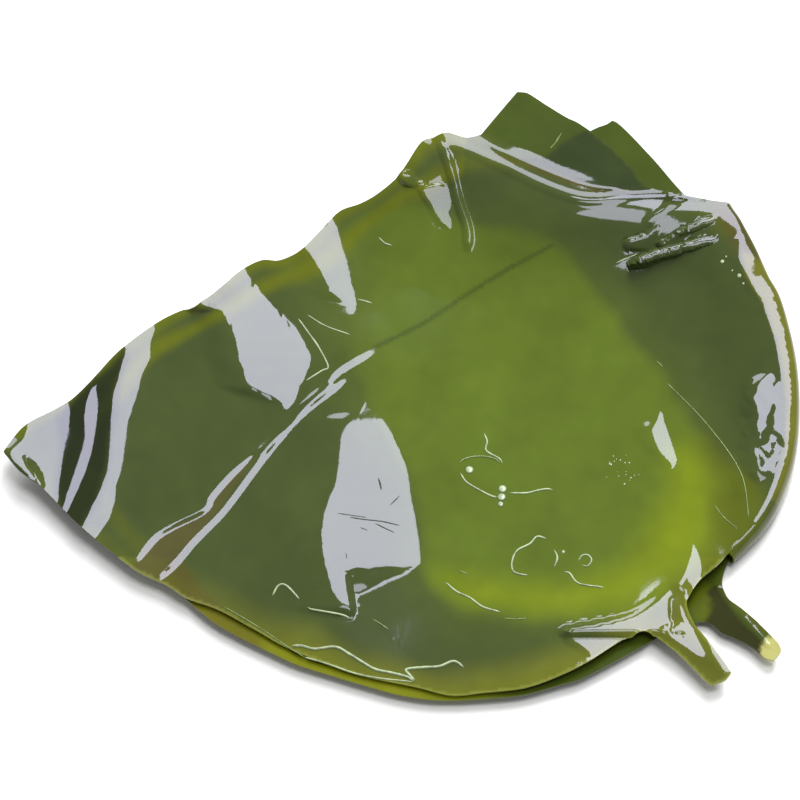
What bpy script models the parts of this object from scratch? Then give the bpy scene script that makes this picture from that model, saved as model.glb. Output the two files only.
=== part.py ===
"""Base of a salted kelp plant: one leathery sheet folded double, with its stalk split in two.

The sheet is drawn as it shows to someone looking down on it at VIEW_TILT degrees: u runs to the
right and v runs up that view, both in millimetres at real size, and every point also has a height
above the surface that the kelp lies on. place() turns the three into a point in space.
Metres, +Z up, the longest side along X.
"""

import math

import bpy
import numpy as np
from mathutils import Vector
from mathutils.geometry import delaunay_2d_cdt

# Driving dimensions, in millimetres and degrees
VIEW_TILT = 60.0
SHEET_THICKNESS = 2.3
RIM_THICKNESS = 0.8
RIM_TAPER = 9.0
STALK_EXTRA = 1.1
STALK_REACH = 34.0
STALK_END = (128.0, -97.0, 5.0)
FOLD_FOOT = 2.6

# The level spot that the back lobe rests on
REST_CENTRE = (18.0, -8.0)
REST_RADII = (46.0, 34.0)
REST_BLEND = 0.8

# How finely the sheet is split
FRONT_SPACING = 6.4
BACK_SPACING = 9.5
RIM_SPACING = 4.5
FOLD_ROWS = 6
FOOT_STRIDE = 6
CURVE_STEP = 0.4
CREASE_STEP = 1.5
RIM_CLEARANCE = 0.62
TINY = 1e-9
MERGE_DISTANCE = 1e-4
INSIDE_ONLY = 1
LEVEL_TOLERANCE = 0.01
MILLIMETRE = 0.001

FLESH_COLOUR = (0.10, 0.16, 0.012, 1.0)
FLESH_ROUGHNESS = 0.12

# Front lobe, (u, v, height): its rim from the left tip over the waved upper edge to the ridge
UPPER_EDGE = [
    (-142, -10, 10.2), (-131, -4, 10.2), (-122, 2, 9.9), (-106, 19, 9.2), (-91, 30, 8.9),
    (-76, 37, 9.0), (-68, 43, 9.2), (-61, 49, 9.5), (-53, 53, 9.7), (-46, 53, 9.6), (-38, 57, 9.7),
    (-30, 65, 10.1), (-23, 72, 10.9), (-15, 75, 12.3), (-8, 79, 14.8), (0, 86, 18.4), (8, 98, 21.4),
    (13, 100, 22.0), (18, 102, 22.6), (25, 100, 23.2), (31, 101, 22.5),
]
LEFT_FLAP_SIDE = [(40, 112, 17), (45, 118, 13.5)]
LEFT_FLAP_TOP = [
    (49, 117.6, 13), (56, 113, 13.2), (64, 108, 13.5), (69, 105.5, 14), (79, 98, 16), (89, 88, 19),
]
RIDGE_END = [(95, 81, 23), (102, 79, 23.4), (113, 77, 23.5), (118, 76, 23.5), (125, 75, 23.3)]

# The fold that joins the lobes, (u, v, height, how far it bulges out)
FOLD = [
    (125, 75, 23.3, 2.6), (129.7, 66.4, 22.4, 1.8), (134, 58, 20.9, 1.8), (138.8, 47, 19.2, 1.8),
    (142.6, 40, 18.3, 1.8), (145.5, 30, 17.4, 1.8), (148, 17.5, 16.5, 1.8), (149, 5, 15.6, 1.8),
    (148.6, -8, 14.6, 1.8), (147.2, -18, 13.7, 1.8), (144.7, -27, 12.8, 1.8), (140, -38, 11.8, 1.8),
    (134.5, -46, 11, 2.0), (129, -52, 10, 2.0), (124, -58, 9, 2.0),
]

# Front lobe again: half of the stalk, then the lower edge back to the left tip
FRONT_STALK_RIGHT = [
    (119, -63, 9.2), (113, -68, 8.6), (108.5, -74, 8), (108, -78, 7.8),
    (110.5, -84, 7.6), (113.5, -88, 7.5), (119.5, -96, 7.3), (124, -102.5, 7),
]
FRONT_STALK_END = [(122, -105, 6.5), (117, -107, 6)]
FRONT_STALK_LEFT = [
    (115, -106, 5.9), (110, -101, 6.3), (105, -96, 6.7), (100, -92, 7.0), (96, -89, 7.1),
    (91, -87, 7.5), (84, -90, 7.6), (79, -93, 7.7), (71, -98, 7.8), (61, -103, 7.6), (47, -108, 6.6),
    (31, -110, 5.4), (19, -111, 5.05), (6, -108, 4.9), (-17, -103, 4.9), (-41, -94, 5.0),
    (-54, -87, 5.25), (-68, -79.5, 5.7), (-80, -75, 6.2), (-88, -70, 6.6), (-97, -66, 7.1), (-103, -62, 7.4),
    (-116, -52, 7.8), (-126, -43, 8.4), (-136, -33, 9.3), (-144, -27, 10), (-150, -20, 10.9),
]
FRONT_LINES = [
    FRONT_STALK_RIGHT, FRONT_STALK_END, FRONT_STALK_LEFT, UPPER_EDGE, LEFT_FLAP_SIDE,
    LEFT_FLAP_TOP, RIDGE_END,
]

# Heights inside the front lobe: a shallow dish that climbs to the ridge and to the fold
FRONT_HEIGHTS = [
    (-110, -25, 8), (-88, 8, 8.3), (-75, -10, 7.8), (-40, -5, 7.5), (-50, -50, 7), (-30, -80, 6.5),
    (0, 0, 7.2), (0, -60, 6.8), (-40, 30, 8.5), (-15, 50, 8.9), (10, 45, 9.0), (8, 81, 19.4),
    (20, 81, 19.0), (13.7, 71.5, 16.2), (20, 72, 16.4), (20, 65.4, 14.3), (-18, 32, 8.1),
    (30, -90, 6.4), (40, -20, 7.2), (60, -60, 7.3), (72, -74, 7.4), (90, -74, 7.9), (45, 40, 9.3),
    (60, 36, 9.7), (62, 48, 12.3), (75, 32, 10.3), (90, 34, 11.5), (85, 10, 9.1), (95, -15, 8.9),
    (90, -50, 8), (105, 25, 11.8), (102, 50, 15.8), (84, 56, 17.2), (85, 62, 19.6), (88, 70, 22.9),
    (101, 62, 20.2), (117, 62, 21.0), (130, 50, 20.1), (137, 36, 18.2), (141, 22, 17), (143, 8, 16),
    (142, -8, 14.8), (139, -24, 12.8), (128, -42, 10.2), (21, 97, 24.2), (38, 89, 24.8),
    (53, 82, 25), (66, 77, 24.9), (76, 76, 24.7), (91, 77.5, 24), (42, 95.5, 24.4), (61, 87, 24.4),
    (72, 83, 24.2), (82, 81, 24.1),
]

# Back lobe, (u, v, height): the other half of the stalk, the lower edge, the hidden left side
BACK_STALK_RIGHT = [
    (122, -66, 3.6), (121.5, -71, 4), (124, -75.5, 4.5), (129, -79.5, 5), (135, -84.5, 5.5),
    (142, -91.5, 6),
]
BACK_STALK_END = [(143, -94.5, 5.6), (140, -98, 5)]
BACK_LOWER_EDGE = [
    (137, -97, 4.6), (132, -93, 4), (126, -90, 3.5), (121, -88, 3.2), (115, -84, 3), (104, -86, 3),
    (96, -90, 3.4), (91, -93, 3.7), (78, -100, 4), (68, -105, 4.1), (61, -107, 4.1),
    (46, -111, 4), (30, -112.5, 3.9), (15, -113, 3.8), (0, -111, 3.8), (-15, -107, 3.8),
    (-25, -104, 3.8), (-38, -100, 3.8), (-47, -96, 3.9), (-62, -88.7, 4.1), (-73, -81.8, 4.3),
    (-88, -68, 4.0), (-106, -46, 3), (-118, -30, 2.8), (-118, -15, 2.8), (-110, 0, 2.8),
    (-95, 17, 2.8), (-76, 28, 2.8), (-53, 42, 2.8), (-30, 53, 2.8), (-14, 66, 2.8), (0, 77, 2.8),
    (7, 80, 2.8), (24, 89, 2.8), (33, 91, 2.8), (55, 92, 2.8), (73, 103, 3.0), (80, 106, 3.2),
]
RIGHT_FLAP_SIDE = [(84, 106.5, 3.4), (97, 93, 3.6), (108, 80, 3.4), (117, 72, 3.0)]
BACK_LINES = [BACK_STALK_RIGHT, BACK_STALK_END, BACK_LOWER_EDGE]
BACK_HEIGHTS = [
    (22, -60, 2.2), (22, 40, 2.2), (80, 0, 2.4), (-60, -10, 2.6), (112, -74, 2.6), (-42, -87, 2.9),
    (-10, -98, 2.6), (20, -102, 2.6), (48, -99, 2.7),
]

# Raised creases on the front lobe: points (u, v, height, half width)
CREASES = {
    "pleat": [
        (-97, -68, 1.2, 5.5), (-75, -44, 1.2, 5.5), (-52, -21, 1.0, 4.6), (-30, -1, 0.8, 3.4),
        (-11, 18, 0.5, 3.0),
    ],
    "ridge_front": [
        (16, 99, 0.6, 4.0), (38, 88, 0.8, 4.0), (60, 79, 0.8, 4.0), (78, 75, 0.8, 4.0),
        (97, 77, 0.6, 4.0),
    ],
    "ridge_back": [
        (32, 100, 0.6, 4.0), (44, 93, 0.8, 4.0), (64, 84, 0.8, 4.0), (80, 81, 0.8, 4.0),
        (93, 80, 0.6, 4.0),
    ],
    "upper_tuck": [(17, 101, 1.0, 4.5), (22, 85, 1.0, 4.5), (29, 62, 0.5, 4.5)],
    "stalk": [(60, -98, 0.8, 6.0), (90, -80, 0.8, 6.0), (106, -66, 0.6, 5.0)],
}


def place(points):
    """Turns rows of (u, v, height) into rows of (x, y, z)."""
    tilt = math.radians(VIEW_TILT)
    u, v, height = np.asarray(points, dtype=float).T
    return np.column_stack([u, (v - height * math.cos(tilt)) / math.sin(tilt), height])


def smooth_line(points, spacing):
    """A Catmull-Rom curve through the points, cut into steps of about the spacing."""
    points = np.asarray(points, dtype=float)
    ends = np.vstack([2 * points[0] - points[1], points, 2 * points[-1] - points[-2]])
    fine = []
    for before, start, stop, after in zip(ends, ends[1:], ends[2:], ends[3:]):
        steps = max(2, round(np.linalg.norm(stop[:2] - start[:2]) / CURVE_STEP))
        for t in np.arange(steps) / steps:
            fine.append(
                0.5 * (
                    2 * start + (stop - before) * t
                    + (2 * before - 5 * start + 4 * stop - after) * t ** 2
                    + (3 * start - before - 3 * stop + after) * t ** 3
                )
            )
    fine = np.array(fine + [points[-1]])
    run = np.concatenate([[0.0], np.cumsum(np.linalg.norm(np.diff(fine[:, :2], axis=0), axis=1))])
    marks = np.linspace(0.0, run[-1], max(2, round(run[-1] / spacing) + 1))
    return np.column_stack([np.interp(marks, run, column) for column in fine.T])


def join_lines(corner, lines):
    """The (u, v) of smooth lines, each one going on from a corner at the end of the last."""
    rows = []
    for line in lines:
        whole = [corner[:2]] + [row[:2] for row in line]
        rows += list(smooth_line(whole, RIM_SPACING)[1:])
        corner = line[-1]
    return np.array(rows)


def radial(distance_squared):
    """The thin-plate kernel."""
    return distance_squared * np.log(distance_squared + TINY)


class Drape:
    """The smoothest surface through rows of (u, v, height)."""

    def __init__(self, rows):
        rows = np.asarray(rows, dtype=float)
        self.spots = rows[:, :2]
        count = len(rows)
        gaps = ((self.spots[:, None] - self.spots[None]) ** 2).sum(axis=2)
        plane = np.column_stack([np.ones(count), self.spots])
        system = np.block([[radial(gaps), plane], [plane.T, np.zeros((3, 3))]])
        answer = np.linalg.solve(system, np.concatenate([rows[:, 2], np.zeros(3)]))
        self.weights = answer[:count]
        self.plane = answer[count:]

    def height(self, places):
        """Height of the surface at each (u, v)."""
        gaps = ((places[:, None] - self.spots[None]) ** 2).sum(axis=2)
        return radial(gaps) @ self.weights + self.plane[0] + places @ self.plane[1:]


def step_up(value):
    """Eases from 0 to 1 as the value goes from 0 to 1."""
    value = np.clip(value, 0.0, 1.0)
    return value * value * (3 - 2 * value)


def crease_height(places, crease):
    """Height that a raised crease adds at each (u, v)."""
    line = smooth_line(crease, CREASE_STEP)
    gaps = np.sqrt(((places[:, None] - line[None, :, :2]) ** 2).sum(axis=2))
    nearest = gaps.argmin(axis=1)
    reach = gaps.min(axis=1) / line[nearest, 3]
    return line[nearest, 2] * (1 - step_up(reach))


def front_height(places):
    """Height of the front lobe at each (u, v): carried by its rim, the fold and its inside."""
    rim = [row[:3] for row in FOLD[1:]] + [row for line in FRONT_LINES for row in line]
    smooth = Drape(rim + FRONT_HEIGHTS).height(places)
    return smooth + sum(crease_height(places, line) for line in CREASES.values())


def back_height(places, foot):
    """Height of the back lobe at each (u, v): level where it rests, higher towards its rim."""
    rim = [row for line in BACK_LINES + [RIGHT_FLAP_SIDE] for row in line]
    rim += [tuple(row) for row in foot[::FOOT_STRIDE]]
    offsets = (places - REST_CENTRE) / REST_RADII
    raised = step_up((np.hypot(*offsets.T) - 1) / REST_BLEND)
    rest = SHEET_THICKNESS / 2
    return rest + (Drape(rim + BACK_HEIGHTS).height(places) - rest) * raised


def fill(loop, spacing):
    """Triangles over the inside of a closed loop of (u, v); the loop's own points come first."""
    low = loop.min(axis=0)
    high = loop.max(axis=0)
    grid = []
    for number, v in enumerate(np.arange(low[1], high[1], spacing * math.sqrt(3) / 2)):
        start = low[0] + (number % 2) * spacing / 2
        grid += [(u, v) for u in np.arange(start, high[0], spacing)]
    grid = np.array(grid)
    gap = ((grid[:, None] - loop[None]) ** 2).sum(axis=2).min(axis=1)
    grid = grid[gap > (RIM_CLEARANCE * spacing) ** 2]
    points = [Vector(row) for row in np.vstack([loop, grid])]
    corners, _, faces, origins, _, _ = delaunay_2d_cdt(
        points, [], [list(range(len(loop)))], INSIDE_ONLY, MERGE_DISTANCE)
    used = sorted({corner for face in faces for corner in face}, key=lambda c: origins[c][0])
    place_of = {corner: position for position, corner in enumerate(used)}
    flat = np.array([tuple(corners[corner]) for corner in used])
    return flat, [tuple(place_of[corner] for corner in face) for face in faces]


def outward(crest):
    """Level unit vectors that point out of the fold, across the line of its crest."""
    along = np.gradient(crest[:, :2], axis=0)
    out = np.column_stack([-along[:, 1], along[:, 0], np.zeros(len(crest))])
    return out / np.linalg.norm(out, axis=1)[:, None]


def fold_rows(crest, foot, bulge):
    """Half ellipses round the fold, from its crest on the front lobe to its foot on the back."""
    centre = (crest + foot) / 2
    rise = (crest - foot) / 2
    reach = bulge[:, None] * outward(crest)
    rows = []
    for turn in np.linspace(90, -90, FOLD_ROWS + 1)[1:-1]:
        angle = math.radians(turn)
        rows.append(centre + math.cos(angle) * reach + math.sin(angle) * rise)
    return rows


def strip_faces(upper, lower):
    """Triangles between two rows of point numbers that run side by side."""
    faces = []
    for first, second, third, fourth in zip(upper, upper[1:], lower[1:], lower):
        faces += [(first, second, third), (first, third, fourth)]
    return faces


def sheet_thickness(points, rim):
    """Thickness of the sheet: thin at the rim, full inside, thicker along the stalk."""
    gap = np.array([np.linalg.norm(rim - point, axis=1).min() for point in points])
    inside = step_up(gap / RIM_TAPER)
    stalk = 1 - step_up(np.linalg.norm(points[:, :2] - place([STALK_END])[0, :2], axis=1) / STALK_REACH)
    return RIM_THICKNESS + (SHEET_THICKNESS - RIM_THICKNESS) * inside + STALK_EXTRA * stalk


def sheet():
    """The middle surface of the folded sheet: its points, triangles and lobe, 0 to 1, of each."""
    crest = smooth_line(FOLD, RIM_SPACING)
    count = len(crest)
    foot = crest[:, :3].copy()
    foot[:, 1] -= (crest[:, 2] - FOLD_FOOT) * math.cos(math.radians(VIEW_TILT))
    foot[:, 2] = FOLD_FOOT

    front_rim = join_lines(crest[-1], FRONT_LINES)
    back_rim = join_lines(foot[-1], BACK_LINES + [RIGHT_FLAP_SIDE + [tuple(foot[0])]])
    front_flat, front_faces = fill(np.vstack([crest[:, :2], front_rim[:-1]]), FRONT_SPACING)
    back_flat, back_faces = fill(np.vstack([foot[:, :2], back_rim[:-1]]), BACK_SPACING)
    front = place(np.column_stack([front_flat, front_height(front_flat)]))
    back = place(np.column_stack([back_flat, back_height(back_flat, foot)]))
    rows = fold_rows(front[:count], back[:count], crest[:, 3])

    points = np.vstack([front, back] + rows)
    lobes = np.concatenate([np.zeros(len(front)), np.ones(len(back)), np.full(len(rows) * count, 0.5)])
    faces = list(front_faces)
    faces += [tuple(len(front) + corner for corner in reversed(face)) for face in back_faces]
    bands = [list(range(count))]
    start = len(front) + len(back)
    for number in range(len(rows)):
        bands.append(list(range(start + number * count, start + (number + 1) * count)))
    bands.append(list(range(len(front), len(front) + count)))
    for upper, lower in zip(bands, bands[1:]):
        faces += strip_faces(upper, lower)
    return points, faces, lobes


def rim_edges(faces):
    """The directed edges that only one triangle has."""
    edges = {(a, b) for face in faces for a, b in zip(face, face[1:] + face[:1])}
    return sorted(edge for edge in edges if edge[::-1] not in edges)


def point_normals(points, faces):
    """Unit normals at the points, each the sum over the triangles round it."""
    corners = points[np.array(faces)]
    crosses = np.cross(corners[:, 1] - corners[:, 0], corners[:, 2] - corners[:, 0])
    normals = np.zeros_like(points)
    for side in range(3):
        np.add.at(normals, np.array(faces)[:, side], crosses)
    return normals / np.linalg.norm(normals, axis=1)[:, None]


def thicken(points, faces, lobes):
    """One closed body round the middle surface, split into triangles alike on both faces.

    The sheet thins towards its rim from below, so that its upper face stays smooth.
    """
    edges = rim_edges(faces)
    rim = points[[edge[0] for edge in edges]]
    thickness = sheet_thickness(points, rim)
    lift = (SHEET_THICKNESS - thickness) / 2 * (1 - 2 * lobes)
    normals = point_normals(points, faces)
    outer = points + (thickness / 2 + lift)[:, None] * normals
    inner = points - (thickness / 2 - lift)[:, None] * normals
    count = len(points)
    shell = list(faces)
    shell += [tuple(corner + count for corner in reversed(face)) for face in faces]
    for a, b in edges:
        shell += [(b, a, a + count), (b, a + count, b + count)]
    return np.vstack([outer, inner]), shell


def settle(points):
    """Moves the body so that it lies on the surface, with its box centred on the origin."""
    low = points.min(axis=0)
    high = points.max(axis=0)
    moved = points - [(low[0] + high[0]) / 2, (low[1] + high[1]) / 2, low[2]]
    moved[moved[:, 2] < LEVEL_TOLERANCE, 2] = 0.0
    return moved


def flesh_material():
    """Wet, leathery olive-green flesh."""
    material = bpy.data.materials.new("kelp_flesh")
    material.use_nodes = True
    shader = material.node_tree.nodes["Principled BSDF"]
    shader.inputs["Base Color"].default_value = FLESH_COLOUR
    shader.inputs["Roughness"].default_value = FLESH_ROUGHNESS
    shader.inputs["Metallic"].default_value = 0.0
    return material


def make_kelp_root():
    """The kelp base as one named object."""
    points, faces, lobes = sheet()
    body, shell = thicken(points, faces, lobes)
    mesh = bpy.data.meshes.new("kelp_root")
    mesh.from_pydata([tuple(row) for row in settle(body) * MILLIMETRE], [], shell)
    mesh.materials.append(flesh_material())
    mesh.shade_smooth()
    kelp = bpy.data.objects.new("kelp_root", mesh)
    bpy.context.scene.collection.objects.link(kelp)
    return kelp


def clear_scene():
    """Removes whatever objects are there at the start."""
    for thing in list(bpy.data.objects):
        bpy.data.objects.remove(thing, do_unlink=True)


clear_scene()
make_kelp_root()
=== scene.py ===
import math
import random

import bpy
import numpy as np
from mathutils import Matrix, Vector, noise
from mathutils.geometry import delaunay_2d_cdt
from mathutils.kdtree import KDTree


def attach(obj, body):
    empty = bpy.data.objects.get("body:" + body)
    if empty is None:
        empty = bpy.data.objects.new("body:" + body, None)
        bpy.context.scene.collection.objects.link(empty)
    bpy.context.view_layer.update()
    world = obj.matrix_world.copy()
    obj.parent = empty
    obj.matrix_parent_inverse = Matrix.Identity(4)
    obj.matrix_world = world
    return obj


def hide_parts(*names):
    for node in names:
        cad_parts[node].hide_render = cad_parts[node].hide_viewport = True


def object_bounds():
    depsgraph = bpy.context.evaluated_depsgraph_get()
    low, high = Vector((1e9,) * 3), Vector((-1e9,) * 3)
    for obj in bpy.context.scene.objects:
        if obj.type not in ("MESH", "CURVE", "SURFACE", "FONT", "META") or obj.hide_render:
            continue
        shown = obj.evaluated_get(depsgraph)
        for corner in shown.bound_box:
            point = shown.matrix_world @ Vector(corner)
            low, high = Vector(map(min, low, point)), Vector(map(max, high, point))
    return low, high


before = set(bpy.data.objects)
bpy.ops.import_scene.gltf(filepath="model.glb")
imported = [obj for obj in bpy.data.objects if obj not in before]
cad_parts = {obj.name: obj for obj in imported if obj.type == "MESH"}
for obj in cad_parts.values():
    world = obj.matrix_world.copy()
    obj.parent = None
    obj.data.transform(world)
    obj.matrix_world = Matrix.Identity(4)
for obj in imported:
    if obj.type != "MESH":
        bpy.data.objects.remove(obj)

cad_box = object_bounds()

# The photograph's frame, and what one of its pixels measures on the kelp, in millimetres
PHOTO_SIDE = 800
PIXEL = 0.38
MILLIMETRE = 0.001

# Driving dimensions of the folded sheet, in millimetres and degrees, as in the part's source
VIEW_TILT = 60.0
SHEET_THICKNESS = 2.3
RIM_THICKNESS = 0.8
RIM_TAPER = 9.0
STALK_EXTRA = 1.1
STALK_REACH = 34.0
STALK_END = (128.0, -97.0, 5.0)
FOLD_FOOT = 2.6
REST_CENTRE = (18.0, -8.0)
REST_RADII = (46.0, 34.0)
REST_BLEND = 0.8

# How finely the sheet is split
FRONT_SPACING = 1.25
BACK_SPACING = 2.4
RIM_SPACING = 1.2
DETAIL_SPACING = 1.1
DETAIL_OFFSETS = (-2.6, -1.6, -0.8, -0.2, 0.3, 0.9, 1.5, 2.1, 2.8, 3.6)
FOLD_ROWS = 14
FOOT_SPACING = 27.0
CURVE_STEP = 0.4
CREASE_STEP = 1.0
RIM_CLEARANCE = 0.62
DETAIL_CLEARANCE = 0.7
DETAIL_CROWDING = 0.4
TINY = 1e-9
MERGE_DISTANCE = 1e-4
INSIDE_ONLY = 1
RIM_ANGLE = 55.0

# Front lobe, (u, v, height): its rim from the left tip over the waved upper edge to the ridge
UPPER_EDGE = [
    (-142, -10, 10.2), (-131, -4, 10.2), (-122, 2, 9.9), (-106, 19, 9.2), (-91, 30, 8.9),
    (-76, 37, 9), (-68, 43, 9.2), (-61, 49, 9.5), (-53, 53, 9.7), (-46, 53, 9.6), (-38, 57, 9.7),
    (-30, 65, 10.1), (-23, 72, 10.9), (-15, 75, 12.3), (-8, 79, 14.8), (0, 86, 18.4), (8, 98, 21.4),
    (13, 100, 22), (18, 102, 22.6), (25, 100, 23.2), (31, 101, 22.5),
]
LEFT_FLAP_SIDE = [(40, 112, 17), (45, 118, 13.5)]
LEFT_FLAP_TOP = [
    (49, 117.6, 13), (56, 113, 13.2), (64, 108, 13.5), (69, 105.5, 14), (79, 98, 16), (89, 88, 19),
]
RIDGE_END = [(95, 81, 23), (102, 79, 23.4), (113, 77, 23.5), (118, 76, 23.5), (125, 75, 23.3)]

# The fold that joins the lobes, (u, v, height, how far it bulges out)
FOLD = [
    (125, 75, 23.3, 2.6), (129.7, 66.4, 22.4, 1.8), (134, 58, 20.9, 1.8), (138.8, 47, 19.2, 1.8),
    (142.6, 40, 18.3, 1.8), (145.5, 30, 17.4, 1.8), (148, 17.5, 16.5, 1.8), (149, 5, 15.6, 1.8),
    (148.6, -8, 14.6, 1.8), (147.2, -18, 13.7, 1.8), (144.7, -27, 12.8, 1.8), (140, -38, 11.8, 1.8),
    (134.5, -46, 11, 2), (129, -52, 10, 2), (124, -58, 9, 2),
]

# Front lobe again: half of the stalk, then the lower edge back to the left tip
FRONT_STALK_RIGHT = [
    (119, -63, 9.2), (113, -68, 8.6), (108.5, -74, 8), (108, -78, 7.8),
    (110.5, -84, 7.6), (113.5, -88, 7.5), (119.5, -96, 7.3), (124, -102.5, 7),
]
FRONT_STALK_END = [(122, -105, 6.5), (117, -107, 6)]
FRONT_STALK_LEFT = [
    (115, -106, 5.9), (110, -101, 6.3), (105, -96, 6.7), (100, -92, 7), (96, -89, 7.1),
    (91, -87, 7.5), (84, -90, 7.6), (79, -93, 7.7), (71, -98, 7.8), (61, -103, 7.6), (47, -108, 6.6),
    (31, -110, 5.4), (19, -111, 5.05), (6, -108, 4.9), (-17, -103, 4.9), (-41, -94, 5),
    (-54, -87, 5.25), (-68, -79.5, 5.7), (-80, -75, 6.2), (-88, -70, 6.6), (-97, -66, 7.1), (-103, -62, 7.4),
    (-116, -52, 7.8), (-126, -43, 8.4), (-136, -33, 9.3), (-144, -27, 10), (-150, -20, 10.9),
]
FRONT_LINES = [
    FRONT_STALK_RIGHT, FRONT_STALK_END, FRONT_STALK_LEFT, UPPER_EDGE, LEFT_FLAP_SIDE,
    LEFT_FLAP_TOP, RIDGE_END,
]

# Heights inside the front lobe: a shallow dish that climbs to the ridge and to the fold
FRONT_HEIGHTS = [
    (-110, -25, 8), (-88, 8, 8.3), (-75, -10, 7.8), (-40, -5, 7.5), (-50, -50, 7), (-30, -80, 6.5),
    (0, 0, 7.2), (0, -60, 6.8), (-40, 30, 8.5), (-15, 50, 8.8), (10, 45, 8.85), (8, 81, 19.4),
    (20, 81, 19), (13.7, 71.5, 16.2), (20, 72, 16.4), (20, 65.4, 14.3), (-18, 32, 7.95), (-4, -86, 6.2),
    (30, -90, 6.4), (40, -20, 7.2), (60, -60, 7.3), (72, -74, 7.4), (90, -74, 7.9), (45, 40, 9.3),
    (60, 36, 9.7), (62, 48, 12.3), (75, 32, 10.3), (90, 34, 11.5), (85, 10, 9.1), (95, -15, 8.9),
    (90, -50, 8), (105, 25, 11.8), (102, 50, 15.8), (84, 56, 17.2), (85, 62, 19.6), (88, 70, 22.9),
    (101, 62, 20.2), (117, 62, 21), (130, 50, 20.1), (137, 36, 18.2), (141, 22, 17), (143, 8, 16),
    (142, -8, 14.8), (139, -24, 12.8), (128, -42, 10.2), (21, 97, 24.2), (38, 89, 24.8),
    (53, 82, 25), (66, 77, 24.9), (76, 76, 24.7), (91, 77.5, 24), (42, 95.5, 24.4), (61, 87, 24.4),
    (72, 83, 24.2), (82, 81, 24.1),
]

# Back lobe, (u, v, height): the other half of the stalk, the lower edge, the hidden left side
BACK_STALK_RIGHT = [
    (122, -66, 3.6), (121.5, -71, 4), (124, -75.5, 4.5), (129, -79.5, 5), (135, -84.5, 5.5),
    (142, -91.5, 6),
]
BACK_STALK_END = [(143, -94.5, 5.6), (140, -98, 5)]
BACK_LOWER_EDGE = [
    (137, -97, 4.6), (132, -93, 4), (126, -90, 3.5), (121, -88, 3.2), (115, -84, 3), (104, -86, 3),
    (96, -90, 3.4), (91, -93, 3.7), (78, -100, 4), (68, -105, 4.1), (61, -107, 4.1),
    (46, -111, 4), (30, -112.5, 3.9), (15, -113, 3.8), (0, -111, 3.8), (-15, -107, 3.8),
    (-25, -104, 3.8), (-38, -100, 3.8), (-47, -96, 3.9), (-62, -88.7, 4.1), (-73, -81.8, 4.3),
    (-88, -68, 4), (-106, -46, 3), (-118, -30, 2.8), (-118, -15, 2.8), (-110, 0, 2.8),
    (-95, 17, 2.8), (-76, 28, 2.8), (-53, 42, 2.8), (-30, 53, 2.8), (-14, 66, 2.8), (0, 77, 2.8),
    (7, 80, 2.8), (24, 89, 2.8), (33, 91, 2.8), (55, 92, 2.8), (73, 103, 3), (80, 106, 3.2),
]
RIGHT_FLAP_SIDE = [(84, 106.5, 3.4), (97, 93, 3.6), (108, 80, 3.4), (117, 72, 3)]
BACK_LINES = [BACK_STALK_RIGHT, BACK_STALK_END, BACK_LOWER_EDGE]
BACK_HEIGHTS = [
    (22, -60, 2.2), (22, 40, 2.2), (80, 0, 2.4), (-60, -10, 2.6), (112, -74, 2.6), (-42, -87, 2.9),
    (-10, -98, 2.6), (20, -102, 2.6), (48, -99, 2.7),
]

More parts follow.
